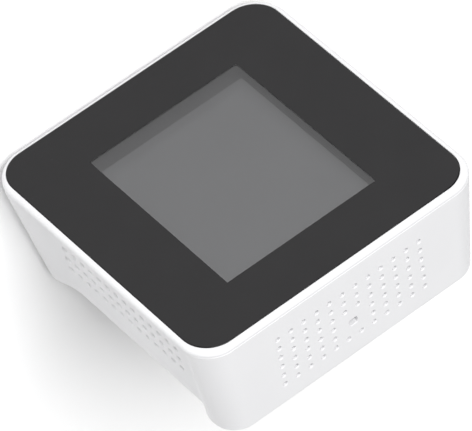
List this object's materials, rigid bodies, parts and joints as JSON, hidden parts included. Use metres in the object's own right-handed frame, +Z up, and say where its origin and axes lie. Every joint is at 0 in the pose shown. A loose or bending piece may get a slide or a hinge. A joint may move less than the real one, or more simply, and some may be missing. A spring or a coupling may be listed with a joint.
{
  "type": "air quality monitor",
  "caption": "Square desk air quality monitor that leans back on a slanted base, with a black glass front over a display and perforated air inlets in its top and sides.",
  "frame": {"origin": "middle of the object's width and depth, on the plane that its rubber foot stands on", "axes": "+Z up, -Y towards the person reading the display, +X to that person's right"},
  "size_m": [0.0856, 0.0581, 0.0821],
  "materials": {
    "white_plastic": "fine satin",
    "front_glass": "polished, black printed border",
    "foam": "matte foam",
    "lcd_glass": "satin polariser film",
    "light_guide": "clear acrylic with white reflector",
    "black_plastic": "fine matte",
    "flat_cable": "polyimide film",
    "circuit_board": "solder mask",
    "steel": "plated",
    "gold_metal": "gold plated",
    "cell_foil": "laminated foil",
    "wire_red": "wire sleeve",
    "foot_rubber": "soft matte",
    "dust_cloth": "woven mesh"
  },
  "bodies": {
    "case": {"front_frame": "white_plastic", "cover_glass": "front_glass", "rear_housing": "white_plastic", "back_cover": "white_plastic", "cover_screw_1": "steel", "cover_screw_2": "steel", "cover_screw_3": "steel", "cover_screw_4": "steel", "base_foot": "foot_rubber", "light_gasket": "foam", "lcd_panel": "lcd_glass", "backlight_unit": "light_guide", "display_bracket": "black_plastic", "display_cable": "flat_cable", "main_board": "circuit_board", "board_screw_1": "steel", "board_screw_2": "steel", "board_screw_3": "steel", "board_screw_4": "steel", "processor_chip": "black_plastic", "wifi_module": "steel", "buzzer": "black_plastic", "co2_sensor": "gold_metal", "sensor_board": "circuit_board", "temp_humidity_sensor": "black_plastic", "gas_sensor": "steel", "battery": "cell_foil", "battery_lead": "wire_red", "io_board": "circuit_board", "io_cable": "flat_cable", "io_screw_1": "steel", "io_screw_2": "steel", "charging_port": "steel", "tact_switch": "black_plastic", "pm_sensor_case": "black_plastic", "pm_sensor_lid": "steel", "laser_module": "gold_metal", "fan_motor": "black_plastic", "top_dust_mesh": "dust_cloth", "left_dust_mesh": "dust_cloth", "right_dust_mesh": "dust_cloth"},
    "button": {"power_button": "white_plastic"},
    "plunger": {"switch_plunger": "black_plastic"},
    "rotor": {"fan_rotor": "black_plastic"}
  },
  "joints": [
    {"name": "button_press", "type": "slide", "parent": "case", "child": "button", "axis": [0, -0.9397, 0.342], "range_m": [0, 0.0005], "stiffness_N_per_m": 4000},
    {"name": "plunger_press", "type": "slide", "parent": "case", "child": "plunger", "axis": [0, -0.9397, 0.342], "range_m": [0, 0.0005], "stiffness_N_per_m": 400},
    {"name": "fan_spin", "type": "hinge", "parent": "case", "child": "rotor", "pos_m": [-0.0206, -0.00068, 0.01808], "axis": [0, 0.9397, -0.342], "continuous": true}
  ],
  "couplings": [
    {"joint": "plunger_press", "follows": "button_press", "ratio": 1}
  ]
}
